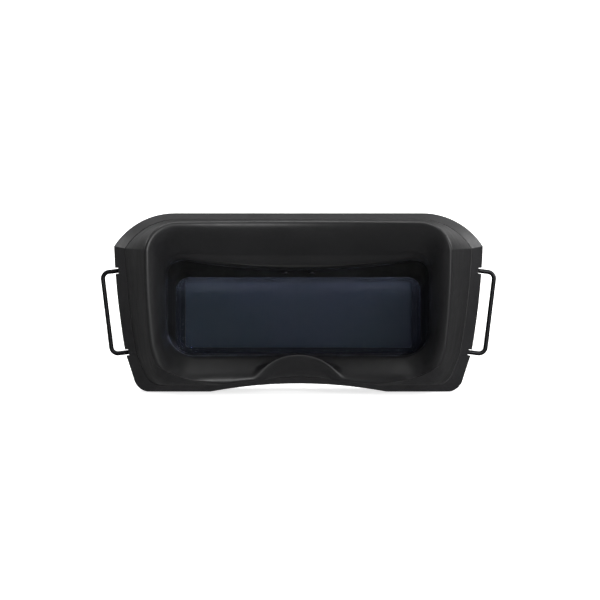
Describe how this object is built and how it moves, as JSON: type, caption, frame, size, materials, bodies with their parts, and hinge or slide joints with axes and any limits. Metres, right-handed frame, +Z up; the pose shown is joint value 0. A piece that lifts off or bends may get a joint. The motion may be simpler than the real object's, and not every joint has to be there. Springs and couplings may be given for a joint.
{
  "type": "fpv goggles",
  "caption": "Box-type FPV goggles with a concave face frame, light-shield tunnel, single lens and display, and hinged strap bails.",
  "frame": {"origin": "middle of the underside, centred on the width and the depth", "axes": "+X to the right as seen from behind the wearer, +Y away from the wearer, +Z up"},
  "size_m": [0.204, 0.0864, 0.0916],
  "materials": {
    "shell_plastic": "fine moulded texture",
    "frame_plastic": "satin soft-touch",
    "shield_plastic": "dull anti-glare",
    "trim_plastic": "gloss",
    "clear_acrylic": "polished",
    "display_glass": "satin anti-glare",
    "black_wire": "satin black coat",
    "black_nylon": "matte",
    "rubber_seal": "matte",
    "circuit_board": "solder mask",
    "chip_epoxy": "matte",
    "tin_shield": "satin tinned",
    "bare_aluminium": "satin",
    "gold_brass": "bright",
    "patch_ceramic": "satin",
    "black_screws": "black oxide"
  },
  "bodies": {
    "housing": {"audio_jack": "black_nylon", "backlight_tray": "tin_shield", "bail_retainer_left": "black_nylon", "bail_retainer_right": "black_nylon", "bail_retainer_screws": "black_screws", "board_chips": "chip_epoxy", "board_screws": "black_screws", "bracket_screws": "black_screws", "button_board": "circuit_board", "buzzer": "black_nylon", "ceiling_screws": "black_screws", "cover_screws": "black_screws", "dc_jack": "black_nylon", "display_bracket": "shield_plastic", "display_gasket": "rubber_seal", "display_ribbon": "circuit_board", "face_frame": "frame_plastic", "fan_frame": "black_nylon", "fan_grille": "trim_plastic", "fan_screws": "black_screws", "frame_screws": "black_screws", "front_cover": "shell_plastic", "front_panel": "trim_plastic", "hdmi_port": "tin_shield", "heatsink": "bare_aluminium", "lcd_panel": "display_glass", "led_light_pipe": "clear_acrylic", "lens": "clear_acrylic", "lens_gasket": "rubber_seal", "lens_retainer": "shield_plastic", "light_guide": "clear_acrylic", "light_shield": "shield_plastic", "main_housing": "shell_plastic", "main_pcb": "circuit_board", "microsd_slot": "tin_shield", "patch_antenna_left": "patch_ceramic", "patch_antenna_right": "patch_ceramic", "pcb_screws": "black_screws", "pcb_standoffs": "gold_brass", "port_board_left": "circuit_board", "port_board_right": "circuit_board", "processor": "chip_epoxy", "receiver_left": "tin_shield", "receiver_right": "tin_shield", "retainer_screws": "black_screws", "shield_screws": "black_screws", "sma_jack_left": "gold_brass", "sma_jack_right": "gold_brass", "tact_switches": "chip_epoxy", "usb_c_port": "tin_shield", "wheel_bracket": "black_nylon", "wheel_pin": "tin_shield", "wheel_screws": "black_screws"},
    "bail_left": {"bail_left": "black_wire"},
    "bail_right": {"bail_right": "black_wire"},
    "fan_impeller": {"fan_impeller": "black_nylon"},
    "menu_wheel": {"menu_wheel": "black_nylon"},
    "power_button": {"power_button": "trim_plastic"},
    "record_button": {"record_button": "trim_plastic"},
    "bind_button": {"bind_button": "trim_plastic"}
  },
  "joints": [
    {"name": "bail_left_swing", "type": "hinge", "parent": "housing", "child": "bail_left", "pos_m": [-0.08505, 0.00516, 0.04176], "axis": [-0.1219, 0, 0.9925], "range_deg": [-35, 35]},
    {"name": "bail_right_swing", "type": "hinge", "parent": "housing", "child": "bail_right", "pos_m": [0.08505, 0.00516, 0.04176], "axis": [0.1219, 0, 0.9925], "range_deg": [-35, 35]},
    {"name": "fan_spin", "type": "hinge", "parent": "housing", "child": "fan_impeller", "pos_m": [0, 0.03016, 0.045], "axis": [0, 1, 0], "continuous": true},
    {"name": "wheel_turn", "type": "hinge", "parent": "housing", "child": "menu_wheel", "pos_m": [0.05, 0.01416, 0.0837], "axis": [1, 0, 0], "continuous": true},
    {"name": "power_press", "type": "slide", "parent": "housing", "child": "power_button", "axis": [0, 0, -1], "range_m": [0, 0.0006], "stiffness_N_per_m": 600, "springref_m": -0.001},
    {"name": "record_press", "type": "slide", "parent": "housing", "child": "record_button", "axis": [0, 0, -1], "range_m": [0, 0.0006], "stiffness_N_per_m": 600, "springref_m": -0.001},
    {"name": "bind_press", "type": "slide", "parent": "housing", "child": "bind_button", "axis": [0, 0, -1], "range_m": [0, 0.0006], "stiffness_N_per_m": 600, "springref_m": -0.001}
  ]
}
